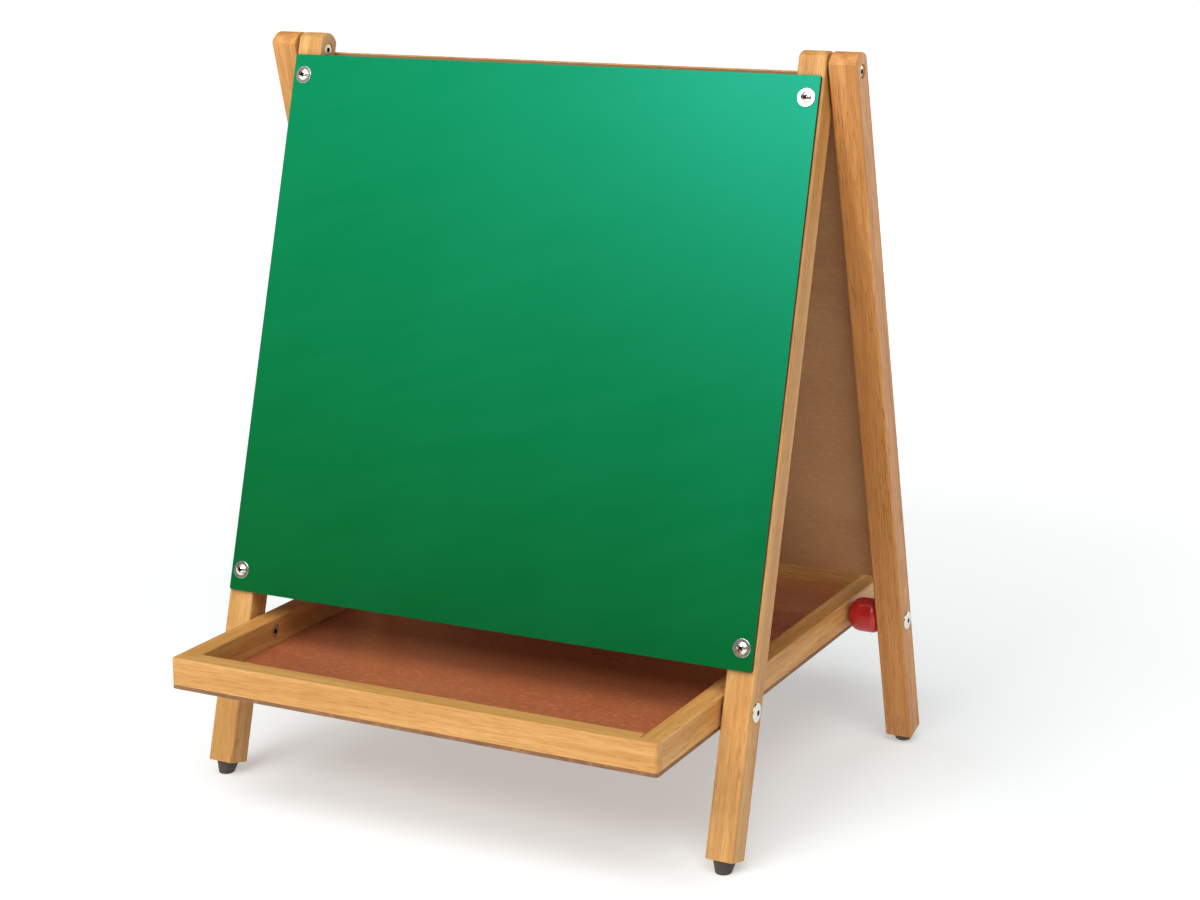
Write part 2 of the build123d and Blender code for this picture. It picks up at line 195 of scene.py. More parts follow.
# %% Saw, lathe and chisel
def saw(outline, start, end, along):
    """A solid with this outline, from start to end along one axis."""
    order = {"X": (2, 0, 1), "Y": (0, 2, 1), "Z": (0, 1, 2)}[along]
    work = bmesh.new()
    ends = []
    for level in (start, end):
        points = [(u, v, level) for u, v in outline]
        ends.append([work.verts.new([point[i] for i in order]) for point in points])
    for one, two in zip(range(len(outline)), [*range(1, len(outline)), 0]):
        work.faces.new((ends[0][one], ends[0][two], ends[1][two], ends[1][one]))
    work.faces.new(ends[0])
    work.faces.new(ends[1])
    bmesh.ops.recalc_face_normals(work, faces=work.faces)
    return work


def turn(profile, sides=48, ring=False):
    """A solid turned about Z from (radius, height) points; a ring's last point joins its first."""
    work = bmesh.new()
    circle = [(cos(2 * pi * i / sides), sin(2 * pi * i / sides)) for i in range(sides)]
    rows = []
    for radius, height in profile:
        around = circle if radius > 0 else circle[:1]
        rows.append([work.verts.new((radius * x, radius * y, height)) for x, y in around])
    pairs = list(zip(rows, rows[1:])) + ([(rows[-1], rows[0])] if ring else [])
    for low, high in pairs:
        for one in range(sides):
            two = (one + 1) % sides
            corners = [low[one % len(low)], low[two % len(low)],
                       high[two % len(high)], high[one % len(high)]]
            corners = list(dict.fromkeys(corners))
            if len(corners) > 2:
                work.faces.new(corners)
    bmesh.ops.recalc_face_normals(work, faces=work.faces)
    return work


def bend(middle, radius, first, last, steps=6):
    """Points of an arc, with angles in degrees."""
    angles = [radians(first + (last - first) * i / steps) for i in range(steps + 1)]
    return [(middle[0] + radius * cos(a), middle[1] + radius * sin(a)) for a in angles]


def ease(work, radius, chosen, steps=4):
    """Round the edges for which chosen(middle, direction) is true."""
    edges = []
    for edge in work.edges:
        one, two = (vertex.co for vertex in edge.verts)
        if chosen((one + two) / 2, (two - one).normalized()):
            edges.append(edge)
    bmesh.ops.bevel(work, geom=edges, offset=radius, offset_type="OFFSET", segments=steps,
                    profile=0.5, affect="EDGES", clamp_overlap=False)
    return work


def moved(work, place):
    bmesh.ops.transform(work, matrix=place, verts=work.verts)
    return work


def together(works):
    """Several solids as one mesh, such as a set of equal bolts."""
    group = bmesh.new()
    for work in works:
        mesh = bpy.data.meshes.new("part of a set")
        work.to_mesh(mesh)
        group.from_mesh(mesh)
        bpy.data.meshes.remove(mesh)
    return group


def as_object(name, work):
    mesh = bpy.data.meshes.new(name)
    work.to_mesh(mesh)
    made = bpy.data.objects.new(name, mesh)
    bpy.context.scene.collection.objects.link(made)
    return made


def discard(made):
    mesh = made.data
    bpy.data.objects.remove(made)
    bpy.data.meshes.remove(mesh)


def cut_away(work, *tools, finish_index=0):
    """The work with each tool's shape taken out; the cut faces get the finish of that index."""
    for face in [face for tool in tools for face in tool.faces]:
        face.material_index = finish_index
    blank = as_object("blank", work)
    cutters = [as_object("cutter", tool) for tool in tools]
    for made in (blank, *cutters):
        made.data.materials.append(None)
        made.data.materials.append(None)
    for cutter in cutters:
        cut = blank.modifiers.new("cut", "BOOLEAN")
        cut.operation, cut.solver, cut.object = "DIFFERENCE", "EXACT", cutter
    left = bmesh.new()
    left.from_object(blank, bpy.context.evaluated_depsgraph_get())
    for spent in (blank, *cutters):
        discard(spent)
    return left


# %% [markdown]
# A finished shape becomes a piece of the easel here: it leans over with its frame, its curved
# faces are shaded smooth and its true corners kept crisp, it rides on a body of the CAD model
# and it stands for the CAD solids that it was made after. Weighted normals keep the broad flat
# faces flat right up to their eased edges.

# %% Put a piece in its place
CRISP_ABOVE = radians(32)


def add_piece(name, work, body, stands_for, finishes, axes=upright, choose=None):
    """Add the worked mesh to the easel; choose(normal) picks which finish a face gets."""
    moved(work, axes)
    bmesh.ops.remove_doubles(work, verts=work.verts, dist=1e-7)
    for face in work.faces:
        face.smooth = True
        if choose:
            face.material_index = choose(axes.to_3x3().inverted() @ face.normal)
    for edge in work.edges:
        edge.smooth = len(edge.link_faces) == 2 and edge.calc_face_angle(0) < CRISP_ABOVE
    made = as_object(name, work)
    for finish in finishes:
        made.data.materials.append(finish)
    shading = made.modifiers.new("flat faces stay flat", "WEIGHTED_NORMAL")
    shading.keep_sharp = True
    shaded = bpy.data.meshes.new_from_object(
        made.evaluated_get(bpy.context.evaluated_depsgraph_get()))
    made.modifiers.clear()
    plain, made.data = made.data, shaded
    bpy.data.meshes.remove(plain)
    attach(made, body)
    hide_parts(*stands_for)
    open_edges = sum(len(edge.link_faces) != 2 for edge in work.edges)
    size = made.dimensions * 1000
    print(f"{name}: {size.x:.1f} x {size.y:.1f} x {size.z:.1f} mm, open edges {open_edges}")
    work.free()
    return made


# %% [markdown]
# ## Nodes for finishes
# Every finish is a Principled shader with patterns feeding its colour, its roughness and a
# fine bump. Values that are the same all over are set on the shader's own sockets. Patterns
# are worked out in three dimensions from the piece's own coordinates, in metres, so they run
# through a piece as real grain does and match on its faces.

# %% Node helpers
def new_finish(name, **constants):
    """An empty finish; constants such as Coat_Weight go straight on the shader's sockets."""
    finish = bpy.data.materials.new(name)
    finish.use_nodes = True
    shader = finish.node_tree.nodes["Principled BSDF"]
    for socket, value in constants.items():
        shader.inputs[socket.replace("_", " ")].default_value = value
    return finish


def own_space(finish, turned=(0, 0, 0), shifted=(0, 0, 0), stretched=(1, 1, 1)):
    """The piece's own coordinates, turned so that grain runs along Z, then stretched."""
    place = node(finish, "TexCoord").outputs["Object"]
    turned_place = node(finish, "Mapping", {"Vector": place, "Rotation": turned,
                                            "Location": shifted}).outputs["Vector"]
    return node(finish, "Mapping", {"Vector": turned_place, "Scale": stretched}).outputs["Vector"]


def noise(finish, place, scale, detail=2.0, roughness=0.5, distortion=0.0):
    return node(finish, "TexNoise", {"Vector": place, "Scale": scale, "Detail": detail,
                                     "Roughness": roughness,
                                     "Distortion": distortion}).outputs["Fac"]


def spread(finish, value, low, high, to_low=0.0, to_high=1.0):
    """Stretch the part of a pattern between low and high over a new range."""
    return node(finish, "MapRange", {"Value": value, "From Min": low, "From Max": high,
                                     "To Min": to_low, "To Max": to_high}).outputs["Result"]


def times(finish, one, two, how="MULTIPLY"):
    """One pattern times another, or put together another way, such as ADD."""
    return node(finish, "Math", {0: one, 1: two}, operation=how).outputs[0]


def deeper(tone, *shares):
    """A darker tone: each of its colours times its own share, or all times one share."""
    return tuple(c * k for c, k in zip(tone, shares if len(shares) > 1 else shares * 3))


def blend_colours(finish, share, one, two):
    """Mix colour two over colour one by share."""
    sockets = {0: share, 6: one if isinstance(one, bpy.types.NodeSocket) else (*one, 1.0),
               7: two if isinstance(two, bpy.types.NodeSocket) else (*two, 1.0)}
    return node(finish, "Mix", sockets, data_type="RGBA").outputs[2]


def wire_up(finish, colour_from=None, roughness_from=None, bump_from=None, bump_height=0.0001,
            bump_strength=1.0):
    """Feed the patterns into the finish's shader."""
    tree = finish.node_tree
    shader = tree.nodes["Principled BSDF"]
    if colour_from is not None:
        tree.links.new(colour_from, shader.inputs["Base Color"])
    if roughness_from is not None:
        tree.links.new(roughness_from, shader.inputs["Roughness"])
    if bump_from is not None:
        bump = node(finish, "Bump", {"Height": bump_from, "Distance": bump_height,
                                     "Strength": bump_strength})
        tree.links.new(bump.outputs["Normal"], shader.inputs["Normal"])
    return finish


# %% [markdown]
# ## Floor
# A seamless paper floor, almost white, far larger than the easel so that no edge shows. It is
# a gently dished mesh: flat under the easel and rising a little far out. The paper also glows,
# more with distance, as if lit from below: that keeps the shadow by the easel pale and lets
# the rest go to plain white.

# %% Floor
GLOW_NEAR, GLOW_FAR = 0.6, 2.6       # metres from the middle
DISH = [(0.0, 0.0), (3.0, 0.0), (6.0, 0.0), (9.0, 0.25), (11.0, 0.8)]


def paper_floor():
    finish = new_finish("paper", Roughness=0.9, Specular_IOR_Level=0.15, Emission_Strength=1.0)
    place = own_space(finish)
    mottle = noise(finish, place, 1.3, 2.0)
    wire_up(finish, blend_colours(finish, spread(finish, mottle, 0.3, 0.7),
                                  (0.685, 0.722, 0.725), (0.705, 0.742, 0.745)))
    far = node(finish, "VectorMath", {0: place}, operation="LENGTH").outputs["Value"]
    glow = blend_colours(finish, spread(finish, far, GLOW_NEAR, GLOW_FAR), (0.378, 0.385, 0.386),
                         (0.80, 0.76, 0.75))
    shader = finish.node_tree.nodes["Principled BSDF"]
    finish.node_tree.links.new(glow, shader.inputs["Emission Color"])
    dish = turn(DISH, sides=96)
    for face in dish.faces:
        face.smooth = True
    floor = as_object("floor", dish)
    floor.data.materials.append(finish)


paper_floor()
print(f"floor {2 * DISH[-1][0]:.0f} m across")


# %% [markdown]
# ## Hardwood finish
# The legs and rails are a pale close-grained hardwood under clear satin lacquer. Up close it
# has three scales: broad soft bands where growth rings are cut, fine fibre streaks, and short
# dark pores along the grain. All three are noise patterns squeezed across the grain and drawn
# out along it. Each piece gets its own shift in the pattern, because no two sticks match.

# %% Hardwood
GRAIN_ALONG = {"X": (0, -pi / 2, 0), "Y": (pi / 2, 0, 0), "Z": (0, 0, 0),
               "front leg": (lean, 0, 0), "rear leg": (-lean, 0, 0)}


def hardwood(name, grain, shift, pale, tan, pore_share=0.5):
    """Lacquered hardwood with its grain along an axis, between a pale and a tan colour."""
    finish = new_finish(name, Specular_IOR_Level=0.25, Coat_Weight=0.06, Coat_Roughness=0.3)
    turned = GRAIN_ALONG[grain]
    stem = own_space(finish, turned, shift, (1, 1, 0.035))
    sway = noise(finish, stem, 22, 2.0)
    rings = node(finish, "TexWave", {"Vector": stem, "Scale": 26, "Distortion": 9.0,
                                     "Detail": 3.0, "Detail Scale": 1.2,
                                     "Detail Roughness": 0.55},
                 wave_type="BANDS", bands_direction="DIAGONAL").outputs["Fac"]
    bands = times(finish, times(finish, rings, 0.55), times(finish, sway, 0.75), "ADD")

    def drawn_out(length, *pattern):
        return noise(finish, own_space(finish, turned, shift, (1, 1, length)), *pattern)

    fibres = drawn_out(0.03, 1150, 3.0, 0.62)
    streaks = drawn_out(0.03, 260, 2.0, 0.5)
    pores = drawn_out(0.035, 2100, 1.0, 0.4)
    clusters = drawn_out(0.12, 90, 2.0)
    base = blend_colours(finish, spread(finish, bands, 0.35, 0.95), pale, tan)
    base = blend_colours(finish, spread(finish, streaks, 0.42, 0.72, 0.0, 0.42), base,
                         deeper(tan, 0.78, 0.68, 0.55))
    base = blend_colours(finish, spread(finish, fibres, 0.46, 0.74, 0.0, 0.6), base,
                         deeper(tan, 0.7, 0.58, 0.45))
    pore_mask = times(finish, spread(finish, pores, 0.56, 0.66),
                      spread(finish, clusters, 0.35, 0.65, 0.3, pore_share))
    base = blend_colours(finish, pore_mask, base,
                         deeper(tan, 0.44, 0.34, 0.26))
    gloss = times(finish, spread(finish, fibres, 0.3, 0.7, 0.40, 0.52),
                  times(finish, pore_mask, 0.2), "ADD")
    relief = times(finish, times(finish, fibres, 0.25), pore_mask, "SUBTRACT")
    return wire_up(finish, base, gloss, relief, mm(0.06), 0.6)


WOOD_PALE, WOOD_TAN = colour(222, 174, 116), colour(205, 148, 88)
print("hardwood, linear:", [round(c, 3) for c in WOOD_PALE], [round(c, 3) for c in WOOD_TAN])


# %% [markdown]
# ## Legs
# Each leg is one square stick. Its top is cut round about the hinge bolt and leaves a small
# shoulder where the curve meets the straight sides. It is sawn from its side outline, and then
# its long edges are eased as with a router and the sawn end gets a small chamfer. The front
# legs have a stepped hole for the sleeve that the hinge turns on, and the rear legs a recess
# for the head of the hinge bolt.

# %% Leg blank
LEG_EASE, LEG_END_CHAMFER = mm(1.8), mm(0.8)


def leg_blank(node_name, axes):
    low, high = own_box(node_name, axes)
    shoulder = sqrt(high.z ** 2 - high.y ** 2)
    shoulder_angle = degrees(atan2(shoulder, high.y))
    outline = [(low.y, low.z), (high.y, low.z),
               *bend((0, 0), high.z, shoulder_angle, 180 - shoulder_angle, 18)]
    work = saw(outline, low.x, high.x, "X")
    ease(work, LEG_EASE, lambda middle, way:
         abs(way.x) < 0.5 and middle.z > low.z + LEG_EASE, 5)
    ease(work, LEG_END_CHAMFER, lambda middle, way:
         abs(middle.z - low.z) < mm(0.01) and abs(way.z) < 0.5, 2)
    return work, low, high


def drill(x_from, x_to, *steps, z=0.0, y=0.0):
    """A stepped drill along X: steps are (radius, depth where that radius ends)."""
    way = 1 if x_to > x_from else -1
    profile, reach = [(0.0, 0.0)], 0.0
    for radius, depth in steps:
        profile += [(radius, reach), (radius, depth)]
        reach = depth
    profile.append((0.0, reach))
    return moved(turn(profile, 40), slide(x_from, y, z)
                 @ spin(way * pi / 2, "Y"))


# %% Four legs
HOLE_START = mm(1.0)     # a cutter starts this far outside the wood
BOLT_HOLE = mm(3.0)
SLEEVE_RECESS, SLEEVE_RECESS_DEPTH, SLEEVE_HOLE = mm(5.6), mm(2.05), mm(4.05)
HEAD_RECESS, HEAD_RECESS_DEPTH = mm(5.4), mm(2.1)
LEG_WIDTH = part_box("front_leg_right")[1].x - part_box("front_leg_right")[0].x
through = LEG_WIDTH + 2 * HOLE_START

leg_woods = {
    "front_leg_left": ("front leg", (0.31, 0.12, 0.20),
                       colour(222, 175, 109), colour(204, 151, 85)),
    "front_leg_right": ("front leg", (0.07, 0.43, 0.71),
                        colour(218, 167, 102), colour(198, 142, 78)),
    "rear_leg_left": ("rear leg", (0.55, 0.26, 0.13),
                      colour(222, 167, 100), colour(202, 141, 76)),
    "rear_leg_right": ("rear leg", (0.83, 0.67, 0.39),
                       colour(214, 153, 88), colour(192, 129, 68)),
}
for leg_name, (grain, shift, pale, tan) in leg_woods.items():
    is_front = leg_name.startswith("front")
    side = SIDES[leg_name.rsplit("_", 1)[1]]
    axes = front_axes if is_front else rear_axes
    blank, low, high = leg_blank(leg_name, axes)
    inner, outer = (low.x, high.x) if side > 0 else (high.x, low.x)
    if is_front:
        cutters = [drill(inner - side * HOLE_START, outer,
                         (SLEEVE_RECESS, SLEEVE_RECESS_DEPTH + HOLE_START),
                         (SLEEVE_HOLE, through)),
                   drill(inner - side * HOLE_START, outer, (BOLT_HOLE, through), z=-pivot_drop)]
    else:
        cutters = [drill(outer + side * HOLE_START, inner,
                         (HEAD_RECESS, HEAD_RECESS_DEPTH + HOLE_START),
                         (BOLT_HOLE, through)),
                   drill(outer + side * HOLE_START, inner, (BOLT_HOLE, through), z=-pivot_drop)]
    wood = hardwood(f"hardwood {leg_name}", grain, shift, pale, tan,
                    0.7 if leg_name == "rear_leg_right" else 0.6)
    add_piece(leg_name + "_wood", cut_away(blank, *cutters),
              "front_frame" if is_front else "rear_frame", [leg_name], [wood], axes)


# %% [markdown]
# ## Board finishes
# The chalkboard is a thin hardboard sheet, painted satin green on its face and left dark and
# bare at its edges. A used board is never one even green: old chalk leaves a faint patchy haze,
# the green is painted paler higher up as painted sheen, for the lamp's reflection and the
# stronger light near the top, and the paint has a fine stipple that blurs what it mirrors. The
# rear board has a glossy white face for markers. Both show bare hardboard on the inside:
# pressed brown fibre with fine streaks and a few dark specks.

# %% Green, white and bare hardboard
# Painted sheen: the chalkboard green is painted paler towards its top, for the lamp's reflection
# and the brighter light there.
PAINTED_SHEEN_RANGE = mm(150), mm(540)    # painted sheen fades in between these heights
PAINTED_SHEEN_GREEN = (0.0, 0.195, 0.060)


def green_paint():
    finish = new_finish("chalkboard green", Specular_IOR_Level=0.8,
                        Specular_Tint=(0.08, 0.82, 0.78, 1.0))
    place = own_space(finish)
    patches = own_space(finish, (lean, 0, 0.5), (0.2, 0, 0.1), (1, 1, 0.45))
    haze = noise(finish, patches, 7, 3.0, 0.6)
    stipple = noise(finish, place, 2600, 2.0)
    strokes = own_space(finish, (lean, 0.35, 0), (0, 0, 0), (0.12, 1, 1))
    wipes = noise(finish, strokes, 60, 1.0, 0.4)
    height = node(finish, "SeparateXYZ", {"Vector": place}).outputs["Z"]
    plain_green = blend_colours(finish, spread(finish, haze, 0.35, 0.7),
                          (0.0, 0.088, 0.001), (0.0, 0.098, 0.003))
    # painted sheen: the green turns paler with height, standing for the lamp's reflection and the
    # stronger light near the top
    base = blend_colours(finish, spread(finish, height, *PAINTED_SHEEN_RANGE), plain_green, PAINTED_SHEEN_GREEN)
    base = blend_colours(finish, spread(finish, wipes, 0.3, 0.9, 0.0, 0.03), base,
                         (0.04, 0.30, 0.16))
    gloss = times(finish, spread(finish, haze, 0.3, 0.7, 0.27, 0.31),
                  spread(finish, wipes, 0.4, 0.8, 0.0, 0.02), "ADD")
    return wire_up(finish, base, gloss, stipple, mm(0.04), 0.2)


def white_melamine():
    finish = new_finish("marker board white", Coat_Weight=0.5, Coat_Roughness=0.06)
    place = own_space(finish)
    clouds = noise(finish, place, 9, 2.0)
    orange_peel = noise(finish, place, 420, 1.0)
    wipes = noise(finish, own_space(finish, (-lean, 0.3, 0), (0, 0, 0), (0.15, 1, 1)), 60, 3.0)
    base = blend_colours(finish, spread(finish, clouds, 0.3, 0.7),
                         (0.80, 0.81, 0.81), (0.83, 0.84, 0.845))
    base = blend_colours(finish, spread(finish, wipes, 0.58, 0.85, 0.0, 0.12), base,
                         (0.62, 0.65, 0.70))
    return wire_up(finish, base, spread(finish, wipes, 0.4, 0.8, 0.16, 0.26), orange_peel,
                   mm(0.03), 0.25)


def hardboard(name, pale, dark, turned, gloss_low, gloss_high, swirl=6.0, fleck=0.4):
    """Pressed wood fibre: soft swirls, fine flecks and a few dark specks."""
    finish = new_finish(name, Specular_IOR_Level=0.45)
    place = own_space(finish, turned)
    drift = noise(finish, own_space(finish, turned, (0, 0, 0), (1, 1, 0.30)), 16, 4.0, 0.62, swirl)
    flecks = noise(finish, own_space(finish, turned, (0.4, 0.2, 0), (1, 1, 0.45)), 480, 2.0, 0.55)
    specks = noise(finish, place, 260, 0.0)
    base = blend_colours(finish, spread(finish, drift, 0.34, 0.68), dark, pale)
    base = blend_colours(finish, spread(finish, flecks, 0.54, 0.68, 0.0, fleck), base,
                         tuple(min(1.0, c * 1.75) for c in pale))
    base = blend_colours(finish, spread(finish, flecks, 0.44, 0.26, 0.0, fleck * 0.5), base,
                         deeper(dark, 0.65))
    base = blend_colours(finish, spread(finish, specks, 0.78, 0.88, 0.0, 0.15), base,
                         deeper(dark, 0.3))
    gloss = spread(finish, drift, 0.3, 0.7, gloss_low, gloss_high)
    return wire_up(finish, base, gloss, flecks, mm(0.05), 0.5)


GREEN, WHITE = green_paint(), white_melamine()
BOARD_BACK_FRONT = hardboard("hardboard back, front frame", colour(150, 104, 64),
                             colour(134, 90, 55), (0, pi / 2, 0), 0.6, 0.75, 0.6, 0.16)
BOARD_BACK_REAR = hardboard("hardboard back, rear frame", colour(196, 148, 102),
                            colour(184, 134, 90), (0, pi / 2, 0), 0.6, 0.75, 0.6, 0.16)
PALE_EDGE = hardboard("pale hardboard edge", colour(206, 158, 102), colour(186, 136, 84),
                      (0, pi / 2, 0), 0.6, 0.8)
BOARD_EDGE = hardboard("hardboard edge", colour(64, 46, 26), colour(40, 30, 18), (0, pi / 2, 0),
                       0.6, 0.8)
print("board finishes:", GREEN.name, "and", WHITE.name)


# %% [markdown]
# ## Boards
# A board is a flat sheet with small round corners and slightly broken edges. Its three
# finishes go on by the way each face looks: the face, the bare back, and the narrow edge
# between them. Four holes let the bolts pass.

# %% Two boards
BOARD_CORNER, BOARD_BREAK, BOLT_INSET = mm(2.0), mm(0.35), mm(16.7)


def round_rectangle(low_u, low_v, high_u, high_v, corner, steps=6):
    return [*bend((high_u - corner, high_v - corner), corner, 0, 90, steps),
            *bend((low_u + corner, high_v - corner), corner, 90, 180, steps),
            *bend((low_u + corner, low_v + corner), corner, 180, 270, steps),
            *bend((high_u - corner, low_v + corner), corner, 270, 360, steps)]


def bolt_spots(node_name, axes, leg_name):
    """Where a board's four bolts stand, in its frame's own axes."""
    low, high = own_box(node_name, axes)
    leg_low, leg_high = own_box(leg_name, axes)
    leg_middle = abs(leg_low.x + leg_high.x) / 2
    return [(side * leg_middle, height) for height in (high.z - BOLT_INSET, low.z + BOLT_INSET)
            for side in (-1, 1)]


def add_board(node_name, body, finishes, axes, outward, leg_name):
    low, high = own_box(node_name, axes)
    sheet = saw(round_rectangle(low.x, low.z, high.x, high.z, BOARD_CORNER), low.y, high.y, "Y")
    ease(sheet, BOARD_BREAK, lambda middle, way: abs(way.y) < 0.5, 2)
    drills = [moved(turn([(0, low.y - HOLE_START), (BOLT_HOLE, low.y - HOLE_START),
                          (BOLT_HOLE, high.y + HOLE_START), (0, high.y + HOLE_START)], 32),
                    slide(x, 0, z) @ spin(-pi / 2, "X"))
              for x, z in bolt_spots(node_name, axes, leg_name)]

    def which(normal):
        return 0 if normal.y * outward > 0.8 else 1 if normal.y * outward < -0.8 else 2

    add_piece(node_name + "_sheet", cut_away(sheet, *drills), body, [node_name],
              finishes, axes, which)


add_board("chalkboard", "front_frame", [GREEN, BOARD_BACK_FRONT, BOARD_EDGE],
          front_axes, -1, "front_leg_right")
add_board("whiteboard", "rear_frame", [WHITE, BOARD_BACK_REAR, PALE_EDGE],
          rear_axes, 1, "rear_leg_right")


# %% [markdown]
# ## Metal, nylon, rubber and red lacquer
# The visible bolts are nickel plated: bright, a little warm, with fine handling marks in the
# shine, and duller at the hinge, where they sit in the wood. The screws under the tray are
# plain zinc steel with turned marks. The feet are a dull brown-black rubber with a bloom on
# it. The knobs are sprayed a deep glossy red.

# %% Fitting finishes
def nickel():
    finish = new_finish("nickel plate", Metallic=1.0)
    place = own_space(finish)
    wear = noise(finish, place, 700, 3.0, 0.6)
    base = blend_colours(finish, spread(finish, wear, 0.3, 0.7),
                         (0.68, 0.65, 0.58), (0.80, 0.77, 0.69))
    return wire_up(finish, base, spread(finish, wear, 0.35, 0.75, 0.13, 0.24), wear,
                   mm(0.004), 0.3)


def plain_metal(name, pale, dark, low_gloss, high_gloss):
    finish = new_finish(name, Metallic=1.0)
    place = own_space(finish)
    wear = noise(finish, place, 900, 3.0, 0.6)
    base = blend_colours(finish, spread(finish, wear, 0.3, 0.7), dark, pale)
    return wire_up(finish, base, spread(finish, wear, 0.3, 0.7, low_gloss, high_gloss), wear,
                   mm(0.01), 0.4)


def moulded(name, pale, dark, low_gloss, high_gloss, grain_size, **constants):
    """A moulded or sprayed finish: slight mottle and a very fine skin."""
    finish = new_finish(name, **constants)
    place = own_space(finish)
    mottle = noise(finish, place, 120, 3.0, 0.6)
    skin = noise(finish, place, grain_size, 2.0)
    base = blend_colours(finish, spread(finish, mottle, 0.3, 0.7), dark, pale)
    return wire_up(finish, base, spread(finish, skin, 0.3, 0.7, low_gloss, high_gloss), skin,
                   mm(0.03), 0.3)


NICKEL = nickel()
DULL_NICKEL = plain_metal("dull nickel plate", (0.50, 0.43, 0.33), (0.34, 0.29, 0.22), 0.22, 0.36)
# Painted shade: the faces inside every cross recess and hexagon socket get this near-black metal,
# for the shade in those hollows.
RECESS_PAINTED_SHADE = plain_metal("tool recess painted shade", (0.05, 0.047, 0.044), (0.02, 0.019, 0.018), 0.4, 0.6)
ZINC = plain_metal("zinc plated steel", (0.62, 0.62, 0.63), (0.48, 0.48, 0.50), 0.28, 0.42)
BRASS = plain_metal("insert brass", (0.80, 0.60, 0.28), (0.68, 0.48, 0.20), 0.25, 0.4)
# The washers are black nylon, made near black also as painted shade, so that the gap between the
# legs at the hinge, where they show, stays dark.
NYLON = moulded("washer nylon", (0.035, 0.034, 0.033), (0.022, 0.021, 0.02), 0.42, 0.55, 900)
RUBBER = moulded("foot rubber", (0.075, 0.056, 0.042), (0.048, 0.036, 0.028), 0.55, 0.75, 1400)
RED = moulded("knob red", (0.52, 0.018, 0.016), (0.44, 0.013, 0.012), 0.34, 0.42, 500,
              Specular_IOR_Level=0.35, Coat_Weight=0.45, Coat_Roughness=0.14)
print(f"{len(bpy.data.materials)} materials so far")


# %% [markdown]
# ## Board bolts
# Each board is held by four bolts whose head is a dome on its own wide washer, with a cross
# recess for the screwdriver. The head is turned from its half outline, with small bends at
# every corner, since those are what catch the lamps. The cross is then cut with a tapered
# tool, as it is punched in the real one.

# %% Washer-head bolts
HEAD_OUT, HEAD_RIM, DOME_OUT, DOME_EDGE, DOME_TOP = mm(7.0), mm(0.8), mm(4.3), mm(1.5), mm(3.0)
SHANK, BOARD_BOLT_LENGTH = mm(2.9), mm(17.0)
CROSS_LONG, CROSS_WIDE, CROSS_DEEP = mm(6.2), mm(1.8), mm(1.9)
TIP_LONG, TIP_WIDE = 0.45, 0.7       # what is left of the cross's arms at their bottom


def taper_cross(long, wide, deep, top):
    """A cross-shaped tool that narrows downward, standing with its tip at top - deep."""
    arms = []
    for quarter in (0, pi / 2):
        arm = saw([(-long / 2, -wide / 2), (long / 2, -wide / 2),
                   (long / 2, wide / 2), (-long / 2, wide / 2)], top - deep, top + deep, "Z")
        for vertex in arm.verts:
            if vertex.co.z < top:
                vertex.co.x *= TIP_LONG
                vertex.co.y *= TIP_WIDE
        arms.append(moved(arm, spin(quarter, "Z")))
    return arms


def dome(edge_radius, edge_height, top, steps=9):
    """Points over a spherical cap from its edge to its crown."""
    rise = top - edge_height
    ball = (edge_radius ** 2 + rise ** 2) / (2 * rise)
    first = degrees(atan2(edge_height - (top - ball), edge_radius))
    return [*bend((0, top - ball), ball, first, 90, steps)[:-1], (0.0, top)]


def washer_head_bolt():
    corner = mm(0.35)
    profile = [(0.0, -BOARD_BOLT_LENGTH), (SHANK - mm(0.5), -BOARD_BOLT_LENGTH),
               (SHANK, -BOARD_BOLT_LENGTH + mm(0.5)), (SHANK, 0.0), (HEAD_OUT - mm(0.1), 0.0),
               *bend((HEAD_OUT - corner, HEAD_RIM - corner), corner, -20, 90, 6),
               *bend((DOME_OUT + mm(0.3), HEAD_RIM + mm(0.3)), mm(0.3), 270, 185, 5),
               *dome(DOME_OUT - mm(0.05), DOME_EDGE, DOME_TOP)]
    # the cross's faces take finish 1, the painted shade of the recess
    return cut_away(turn(profile, 64), *taper_cross(CROSS_LONG, CROSS_WIDE, CROSS_DEEP, DOME_TOP),
                    finish_index=1)


board_bolt = washer_head_bolt()
TURNS = (0.35, 1.05, 0.20, 0.75)     # how far each cross happened to be turned when tight
for node_name, body, axes, outward, leg_name, board_name in (
        ("chalkboard_bolts", "front_frame", front_axes, -1, "front_leg_right", "chalkboard"),
        ("whiteboard_bolts", "rear_frame", rear_axes, 1, "rear_leg_right", "whiteboard")):
    low, high = own_box(board_name, axes)
    face = low.y if outward < 0 else high.y
    spots = bolt_spots(board_name, axes, leg_name)
    bolts = [moved(board_bolt.copy(), slide(x, face, z)
                   @ spin(-outward * pi / 2, "X") @ spin(turned, "Z"))
             for (x, z), turned in zip(spots, TURNS)]
    add_piece(node_name + "_set", together(bolts), body, [node_name],
              [NICKEL, RECESS_PAINTED_SHADE], axes)


# %% [markdown]
# ## Hinge and pivot fittings
# The hinge bolts and the sleeves they screw into sit sunk in the wood, while the tray's pivot
# bolts and the knob bolts show as low domed discs on the outer faces of the legs. All of them
# have a hexagon socket and a rim that is rounded over, so that it catches the lamps.

# %% Socket heads
SOCKET_FLATS, SOCKET_DEEP = mm(4.0), mm(2.0)
HEAD_TALL, RIM_ROUND = mm(1.6), mm(0.5)
HINGE_HEAD = mm(5.0), mm(1.1)        # radius and rim height
DISC_HEAD = mm(7.3), mm(0.9)
HINGE_HEAD_SEAT = mm(0.5 + 1.6)      # depth of each head's seat under the wood's face
SLEEVE_HEAD_SEAT = mm(0.4 + 1.5)
HINGE_SLEEVE_REACH, KNOB_BOLT_END = mm(8.0), mm(4.0)


